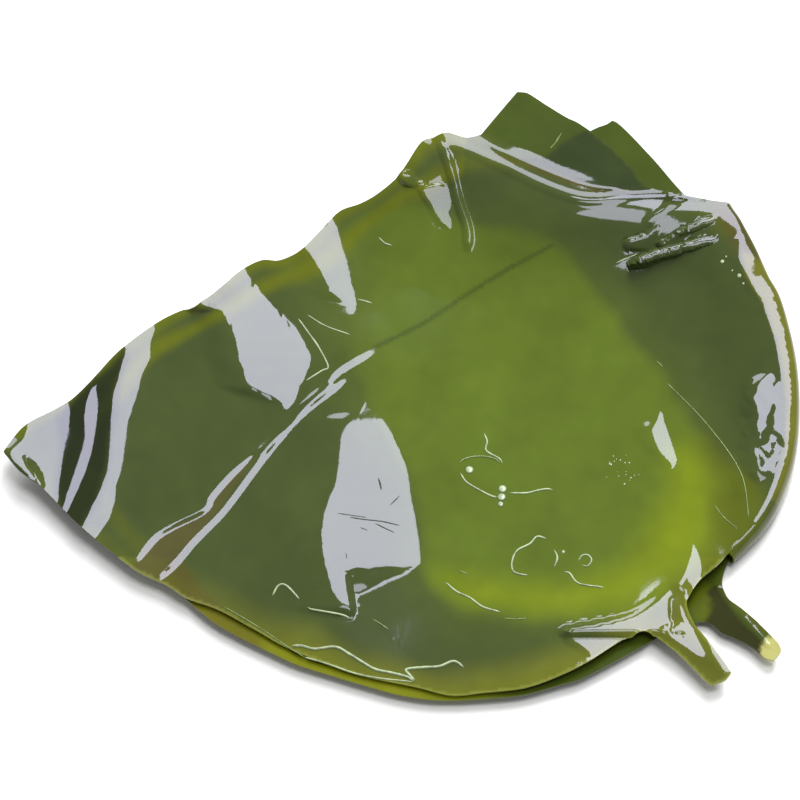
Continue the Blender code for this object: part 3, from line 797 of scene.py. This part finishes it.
def outward(crest):
    """Level unit vectors that point out of the fold, across the line of its crest."""
    along = np.gradient(crest[:, :2], axis=0)
    out = np.column_stack([-along[:, 1], along[:, 0], np.zeros(len(crest))])
    return out / np.linalg.norm(out, axis=1)[:, None]


def fold_rows(crest, foot, bulge):
    """Half ellipses round the fold, from its crest on the front lobe to its foot on the back."""
    centre = (crest + foot) / 2
    rise = (crest - foot) / 2
    reach = bulge[:, None] * outward(crest)
    rows = []
    for turn in np.linspace(90, -90, FOLD_ROWS + 1)[1:-1]:
        angle = math.radians(turn)
        rows.append(centre + math.cos(angle) * reach + math.sin(angle) * rise)
    return rows


def strip_faces(upper, lower):
    """Triangles between two rows of point numbers that run side by side."""
    faces = []
    for first, second, third, fourth in zip(upper, upper[1:], lower[1:], lower):
        faces += [(first, second, third), (first, third, fourth)]
    return faces


def sheet_thickness(points, rim):
    """Thickness of the sheet: thin at the rim, full inside, thicker along the stalk."""
    inside = step_up(nearest(points, rim)[1] / RIM_TAPER)
    stalk = 1 - step_up(np.linalg.norm(points[:, :2] - place([STALK_END])[0, :2], axis=1) / STALK_REACH)
    return RIM_THICKNESS + (SHEET_THICKNESS - RIM_THICKNESS) * inside + STALK_EXTRA * stalk


def sheet():
    """The middle surface of the folded sheet: its points, triangles, (u, v) and lobe of each."""
    crest = smooth_line(FOLD, RIM_SPACING)
    count = len(crest)
    foot = crest[:, :3].copy()
    foot[:, 1] -= (crest[:, 2] - FOLD_FOOT) * math.cos(math.radians(VIEW_TILT))
    foot[:, 2] = FOLD_FOOT

    front_rim = join_lines(crest[-1], FRONT_LINES)
    back_rim = join_lines(foot[-1], BACK_LINES + [RIGHT_FLAP_SIDE + [tuple(foot[0])]])
    front_flat, front_faces = fill(
        np.vstack([crest[:, :2], front_rim[:-1]]), FRONT_SPACING, detail_places(fine_lines()))
    back_flat, back_faces = fill(
        np.vstack([foot[:, :2], back_rim[:-1]]), BACK_SPACING, detail_places([BACK_STREAK[3]]))
    front = lifted(front_flat, front_height(front_flat))
    back = lifted(back_flat, back_height(back_flat, foot))
    rows = fold_rows(front[:count], back[:count], crest[:, 3])

    points = np.vstack([front, back] + rows)
    flat = np.vstack([front_flat, back_flat] + [crest[:, :2]] * len(rows))
    lobes = np.concatenate([np.zeros(len(front)), np.ones(len(back)), np.full(len(rows) * count, 0.5)])
    faces = list(front_faces)
    faces += [tuple(len(front) + corner for corner in reversed(face)) for face in back_faces]
    bands = [list(range(count))]
    start = len(front) + len(back)
    for number in range(len(rows)):
        bands.append(list(range(start + number * count, start + (number + 1) * count)))
    bands.append(list(range(len(front), len(front) + count)))
    for upper, lower in zip(bands, bands[1:]):
        faces += strip_faces(upper, lower)
    return points, faces, flat, lobes


def rim_edges(faces):
    """The directed edges that only one triangle has."""
    edges = {(a, b) for face in faces for a, b in zip(face, face[1:] + face[:1])}
    return sorted(edge for edge in edges if edge[::-1] not in edges)


def rim_places(flat, faces):
    """The (u, v) of the points on the rim."""
    return flat[[edge[0] for edge in rim_edges(faces)]]


def point_normals(points, faces):
    """Unit normals at the points, each the sum over the triangles round it."""
    corners = points[np.array(faces)]
    crosses = np.cross(corners[:, 1] - corners[:, 0], corners[:, 2] - corners[:, 0])
    normals = np.zeros_like(points)
    for side in range(3):
        np.add.at(normals, np.array(faces)[:, side], crosses)
    return normals / np.linalg.norm(normals, axis=1)[:, None]


def thicken(points, faces, lobes):
    """One closed body round the middle surface, split into triangles alike on both faces.

    The sheet thins towards its rim from below, so that its upper face stays smooth.
    """
    edges = rim_edges(faces)
    rim = points[[edge[0] for edge in edges]]
    thickness = sheet_thickness(points, rim)
    lift = (SHEET_THICKNESS - thickness) / 2 * (1 - 2 * lobes)
    normals = point_normals(points, faces)
    outer = points + (thickness / 2 + lift)[:, None] * normals
    inner = points - (thickness / 2 - lift)[:, None] * normals
    count = len(points)
    shell = list(faces)
    shell += [tuple(corner + count for corner in reversed(face)) for face in faces]
    for a, b in edges:
        shell += [(b, a, a + count), (b, a + count, b + count)]
    return np.vstack([outer, inner]), shell


def settling(points):
    """How far the body moves to lie on the surface with its box centred on the origin."""
    low = points.min(axis=0)
    high = points.max(axis=0)
    return np.array([(low[0] + high[0]) / 2, (low[1] + high[1]) / 2, low[2]])


def mix(colours, other, share):
    """Blends rows of colours towards another colour by a share for each row."""
    return colours + (np.asarray(other) - colours) * share[:, None]


def area_depth(places, outline):
    """How deep in millimetres each place lies inside an area of the photograph, below 0 outside."""
    corners = from_photo(outline)
    closed = np.vstack([corners, corners[:1]])
    line = smooth_line(closed, CREASE_STEP)
    inside = np.zeros(len(places), dtype=bool)
    for (u1, v1), (u2, v2) in zip(line, np.roll(line, -1, axis=0)):
        if v1 != v2:
            crosses = (v1 > places[:, 1]) != (v2 > places[:, 1])
            inside ^= crosses & (places[:, 0] < (u2 - u1) * (places[:, 1] - v1) / (v2 - v1) + u1)
    return nearest(places, line)[1] * np.where(inside, 1, -1)


def area_share(places, outline, softness):
    """How far each place is inside an area of the photograph: 1 well inside, 0 well outside."""
    return step_up(0.5 + area_depth(places, outline) / (2 * softness))


def patchy(places, size, seed):
    """Uneven cloudiness between -1 and 1 at each (u, v)."""
    return np.array([noise.noise(Vector((u / size, v / size, seed))) for u, v in places])


def flesh_and_painted_light_colours(places, lobes, rim):
    """Colour at each (u, v) of the front lobe, fold and back lobe: flesh, painted light and painted shade.
    """
    front = lobes < 1
    back = lobes == 1
    colours = np.tile(np.array(DEEP), (len(places), 1))
    gap = nearest(places, rim)[1]
    tear = np.column_stack([patchy(places, TEAR_SIZE, 1.0), patchy(places, TEAR_SIZE, 5.0)])
    torn = places + TEAR_REACH * tear
    # painted light shining through the middle of the front lobe
    fade = step_up((torn[:, 0] - LIT_FROM) / LIT_BLEND)
    inner, outer = (
        strength * area_share(torn, LIT_AREA, softness) for strength, softness in (LIT_INNER, LIT_OUTER))
    colours = mix(colours, MIDDLE_LIT_THROUGH, front * np.maximum(inner * fade, outer))
    cloud = patchy(places, CLOUD_SIZE, 9.0)
    # painted light along the lower rim of the front lobe
    lower_width = LOWER_RIM_WIDTH * (1 + LOWER_RIM_WAVER * cloud)
    lower = (places[:, 1] < LOWER_RIM_FROM) * (1 - step_up(gap / lower_width))
    start, blend = LOWER_RIM_BLEND
    weak, strong = LOWER_RIM_SHARE
    lower *= weak + (strong - weak) * step_up((places[:, 0] - start) / blend)
    colours = mix(colours, LOWER_RIM, front * lower)
    # painted glow along the rim, strongest along the upper edge
    upper = front * (places[:, 1] > UPPER_RIM_FROM) * (places[:, 0] < UPPER_RIM_TO)
    share = np.where(upper, UPPER_RIM_SHARE, OTHER_RIM_SHARE)
    share = share * (1 - step_up(gap / (RIM_WIDTH + RIM_WAVER * cloud)))
    colours = mix(colours, RIM, share * (lobes == 0))
    colours = mix(colours, BACK_FLESH, back)
    # painted glow along the lower edge of the back lobe
    band = back * (1 - step_up(gap / BAND_WIDTH)) * step_up((BAND_TO - places[:, 0]) / BAND_FADE)
    colours = mix(colours, BAND, BAND_SHARE * band)
    for side, areas in ((front, FRONT_AREAS), (back, BACK_AREAS)):
        for colour, strength, softness, outline in areas:
            edge = torn if softness > TORN_FROM else places
            colours = mix(colours, colour, side * strength * area_share(edge, outline, softness))
    shade = 1 + CLOUD_SHADE * cloud + BLOTCH_SHADE * patchy(places, BLOTCH_SIZE, 3.0)
    return colours * shade[:, None]


def shell_colours(flat, lobes, faces):
    """Colour of each point of the closed body; the lower rim's edge gets painted light on its cut face."""
    colours = flesh_and_painted_light_colours(flat, lobes, rim_places(flat, faces))
    rim = np.zeros(len(flat))
    rim[[edge[0] for edge in rim_edges(faces)]] = 1
    rim *= (flat[:, 1] < LOWER_RIM_FROM) * (lobes == 0)
    return np.vstack([mix(colours, RIM_FACE_LIGHT, share * rim) for share in (RIM_FACE_UPPER, RIM_FACE_LOWER)])


def set_inputs(node, values):
    """Gives sockets of a node their fixed values."""
    for name, value in values.items():
        node.inputs[name].default_value = value


def new_material(name):
    """A new material, its node tree and its shader."""
    material = bpy.data.materials.new(name)
    material.use_nodes = True
    return material, material.node_tree, material.node_tree.nodes["Principled BSDF"]


def drive_by_noise(tree, socket, kind):
    """Drives a socket by a noise texture of this scale and detail, from a low to a high value."""
    scale, detail, low, high = kind
    cloud = tree.nodes.new("ShaderNodeTexNoise")
    set_inputs(cloud, {"Scale": scale, "Detail": detail})
    tree.links.new(tree.nodes.new("ShaderNodeTexCoord").outputs["Object"], cloud.inputs["Vector"])
    spread = tree.nodes.new("ShaderNodeMapRange")
    set_inputs(spread, {"From Min": NOISE_LOW, "From Max": NOISE_HIGH, "To Min": low, "To Max": high})
    tree.links.new(cloud.outputs["Fac"], spread.inputs["Value"])
    tree.links.new(spread.outputs["Result"], socket)


def mottled_colour(tree, shader, kind):
    """Scales the shader's colour by a noise; returns the socket that the colour comes in by."""
    tinted = tree.nodes.new("ShaderNodeVectorMath")
    tinted.operation = "SCALE"
    drive_by_noise(tree, tinted.inputs["Scale"], kind)
    tree.links.new(tinted.outputs["Vector"], shader.inputs["Base Color"])
    return tinted.inputs[0]


def flesh_material():
    """Wet, leathery olive-green flesh: colour with painted light and shade carried by the points, broken up
    by fine mottling.
    """
    material, tree, shader = new_material("kelp_flesh_wet")
    colour = tree.nodes.new("ShaderNodeAttribute")
    colour.attribute_name = "kelp_tone_and_painted_light"
    tree.links.new(colour.outputs["Color"], mottled_colour(tree, shader, MOTTLE))
    drive_by_noise(tree, shader.inputs["Roughness"], WET_ROUGHNESS)
    grain = tree.nodes.new("ShaderNodeBump")
    set_inputs(grain, {"Strength": 1.0, "Distance": GRAIN_DEPTH})
    drive_by_noise(tree, grain.inputs["Height"], GRAIN)
    tree.links.new(grain.outputs["Normal"], shader.inputs["Normal"])
    set_inputs(shader, {"IOR": GLOSS_IOR, "Specular Tint": GLOSS_TINT})
    return material


def brine_material(name, colour):
    """A thread or drop of one colour, slightly uneven: thick brine with its pale colour a painted highlight,
    or a skin wrinkle painted dark as shade.
    """
    material, tree, shader = new_material(name)
    mottled_colour(tree, shader, BRINE_MOTTLE).default_value = colour
    drive_by_noise(tree, shader.inputs["Roughness"], BRINE_ROUGHNESS)
    return material


def add_object(name, data):
    """A new object in the scene."""
    thing = bpy.data.objects.new(name, data)
    bpy.context.scene.collection.objects.link(thing)
    return thing


def upper_face(flat):
    """Points on the front lobe's upper face at each (u, v), and the way the face looks there."""
    step = 0.2
    middle, right, up = (lifted(at, front_height(at)) for at in (flat, flat + (step, 0), flat + (0, step)))
    normals = np.cross(right - middle, up - middle)
    normals /= np.linalg.norm(normals, axis=1)[:, None]
    return middle + SHEET_THICKNESS / 2 * normals, normals


def thread(flat, radius):
    """A fine tube half sunk in the upper face, thin at its ends: its points and faces."""
    centre, normals = upper_face(flat)
    along = np.gradient(centre, axis=0)
    across = np.cross(along, normals)
    across /= np.linalg.norm(across, axis=1)[:, None]
    count = len(flat)
    run = np.minimum(np.arange(count), np.arange(count)[::-1]) * THREAD_STEP
    size = radius * np.sqrt(np.clip((run + THREAD_END) / THREAD_TAPER, THREAD_THINNEST, 1))[:, None]
    turns = np.arange(THREAD_SIDES) * 2 * math.pi / THREAD_SIDES
    rings = [centre + size * (math.cos(turn) * across + math.sin(turn) * normals) for turn in turns]
    points = np.stack(rings, axis=1).reshape(-1, 3)
    faces = []
    for row in range(count - 1):
        for side in range(THREAD_SIDES):
            a = row * THREAD_SIDES + side
            b = row * THREAD_SIDES + (side + 1) % THREAD_SIDES
            faces += [(a, b, b + THREAD_SIDES), (a, b + THREAD_SIDES, a + THREAD_SIDES)]
    ends = (range(THREAD_SIDES)[::-1], range((count - 1) * THREAD_SIDES, count * THREAD_SIDES))
    return points, faces + [tuple(end) for end in ends]


def drop(middle, radius):
    """A low round drop half sunk in the upper face: its points and faces."""
    centre, normals = upper_face(np.array([middle]))
    across = np.cross(normals[0], (0.0, 1.0, 0.0))
    across /= np.linalg.norm(across)
    up = np.cross(normals[0], across)
    rise = DROP_RISE * min(1.0, radius)
    turns = np.arange(DROP_SIDES) * 2 * math.pi / DROP_SIDES
    points = [centre[0] + rise * normals[0]]
    for share, height in DROP_RINGS:
        for turn in turns:
            flat = share * radius * (math.cos(turn) * across + math.sin(turn) * up)
            points.append(centre[0] + flat + height * rise * normals[0])
    points.append(centre[0] - rise * normals[0])
    faces = []
    last = 2 * DROP_SIDES + 1
    for side in range(DROP_SIDES):
        after = (side + 1) % DROP_SIDES
        a, b = side + 1, after + 1
        c, d = a + DROP_SIDES, b + DROP_SIDES
        faces += [(0, b, a), (a, b, d), (a, d, c), (c, d, last)]
    return np.array(points), faces


def speckles():
    """Small drops scattered over one spot: (u, v) and radius of each."""
    scatter = random.Random(SPECKLE_SEED)
    x, y, width, height = SPECKLE_AREA
    rows = []
    for _ in range(SPECKLE_COUNT):
        turn = scatter.uniform(0, 2 * math.pi)
        reach = math.sqrt(scatter.random())
        spot = from_photo([(x + width * reach * math.cos(turn), y + height * reach * math.sin(turn))])[0]
        rows.append((spot, scatter.uniform(*SPECKLE_RADIUS)))
    return rows


def brine_piece(shift):
    """Threads and drops of brine with painted highlights, and fine skin wrinkles painted dark as shade, on
    the upper face.
    """
    shapes = []
    for radius, kind, line in THREADS:
        shapes.append((thread(smooth_line(from_photo(line), THREAD_STEP), radius), kind))
    for x, y, radius in DROPS:
        shapes.append((drop(from_photo([(x, y)])[0], radius), 0))
    for spot, radius in speckles():
        shapes.append((drop(spot, radius), 0))
    points, faces, slots = [], [], []
    for (more, rows), kind in shapes:
        start = sum(len(part) for part in points)
        faces += [tuple(start + corner for corner in row) for row in rows]
        slots += [kind] * len(rows)
        points.append(more)
    mesh = bpy.data.meshes.new("brine_threads")
    mesh.from_pydata([tuple(row) for row in (np.vstack(points) - shift) * MILLIMETRE], [], faces)
    for name, colour in THREAD_COLOURS.items():
        mesh.materials.append(brine_material(name, colour))
    mesh.polygons.foreach_set("material_index", slots)
    mesh.shade_smooth()
    brine = add_object("brine_threads", mesh)
    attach(brine, "root")


def kelp_piece():
    """Makes the finely split folded sheet; returns how far the body moved to its place."""
    points, faces, flat, lobes = sheet()
    body, shell = thicken(points, faces, lobes)
    shift = settling(body)
    mesh = bpy.data.meshes.new("wet_kelp")
    low, high = np.array(cad_box)
    body = np.clip((body - shift) * MILLIMETRE, low, high)
    mesh.from_pydata([tuple(row) for row in body], [], shell)
    mesh.shade_smooth()
    mesh.set_sharp_from_angle(angle=math.radians(RIM_ANGLE))
    colours = shell_colours(flat, lobes, faces)
    layer = mesh.attributes.new("kelp_tone_and_painted_light", "FLOAT_COLOR", "POINT")
    layer.data.foreach_set("color", np.column_stack([colours, np.ones(len(colours))]).ravel())
    mesh.materials.append(flesh_material())
    kelp = add_object("wet_kelp", mesh)
    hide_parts("kelp_root")
    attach(kelp, "root")
    return shift


def studio_floor():
    """A plain pale floor."""
    bpy.ops.mesh.primitive_plane_add(size=FLOOR_SIDE, location=(0.0, 0.0, -FLOOR_DROP))
    floor = bpy.context.object
    floor.name = "floor"
    material, _, shader = new_material("pale_floor")
    set_inputs(shader, {
        "Base Color": FLOOR_COLOUR, "Roughness": FLOOR_ROUGHNESS, "Specular IOR Level": FLOOR_SHINE})
    floor.data.materials.append(material)


def aim(thing, at):
    """Turns a light or camera at the place it stands to look at a point."""
    direction = Vector(at) - thing.location
    thing.rotation_euler = direction.to_track_quat("-Z", "Y").to_euler()


def mirror_direction(tilt_right, tilt_near):
    """Where a face tilted so many degrees right and towards the camera mirrors the camera to."""
    rise = math.radians(VIEW_TILT)
    eye = Vector((0.0, -math.cos(rise), math.sin(rise)))
    normal = Vector(
        (math.tan(math.radians(tilt_right)), -math.tan(math.radians(tilt_near)), 1.0)).normalized()
    return 2 * normal.dot(eye) * normal - eye


def softbox(name, tilt_right, tilt_near, width, height, radiance):
    """A soft light that faces with the given tilt mirror into the camera."""
    data = bpy.data.lights.new(name, "AREA")
    data.shape = "RECTANGLE"
    data.size = width
    data.size_y = height
    data.energy = radiance * width * height * math.pi
    light = add_object(name, data)
    light.location = mirror_direction(tilt_right, tilt_near) * LIGHT_DISTANCE
    aim(light, (0.0, 0.0, 0.0))


def studio_light():
    """Plain soft studio light."""
    world = bpy.data.worlds.new("studio")
    world.use_nodes = True
    set_inputs(world.node_tree.nodes["Background"], {"Color": WORLD_COLOUR, "Strength": WORLD_STRENGTH})
    bpy.context.scene.world = world
    for name, values in SOFTBOXES.items():
        softbox(name, *values)
    bpy.context.scene.view_settings.view_transform = "Standard"


def photo_camera(shift):
    """A long lens at the photograph's viewing angle, square on to the kelp's middle."""
    frame_width = PHOTO_SIDE * PIXEL * MILLIMETRE
    data = bpy.data.cameras.new("photo_camera")
    data.sensor_width = SENSOR_WIDTH
    data.lens = data.sensor_width * CAMERA_DISTANCE / frame_width
    data.clip_end = CAMERA_LIMIT
    camera = add_object("photo_camera", data)
    middle = Vector(tuple((place([LOOKED_AT])[0] - shift) * MILLIMETRE))
    tilt = math.radians(VIEW_TILT)
    camera.location = middle + CAMERA_DISTANCE * Vector((0.0, -math.cos(tilt), math.sin(tilt)))
    aim(camera, middle)
    bpy.context.scene.camera = camera


shift = kelp_piece()
brine_piece(shift)
studio_floor()
studio_light()
photo_camera(shift)

bpy.context.view_layer.update()
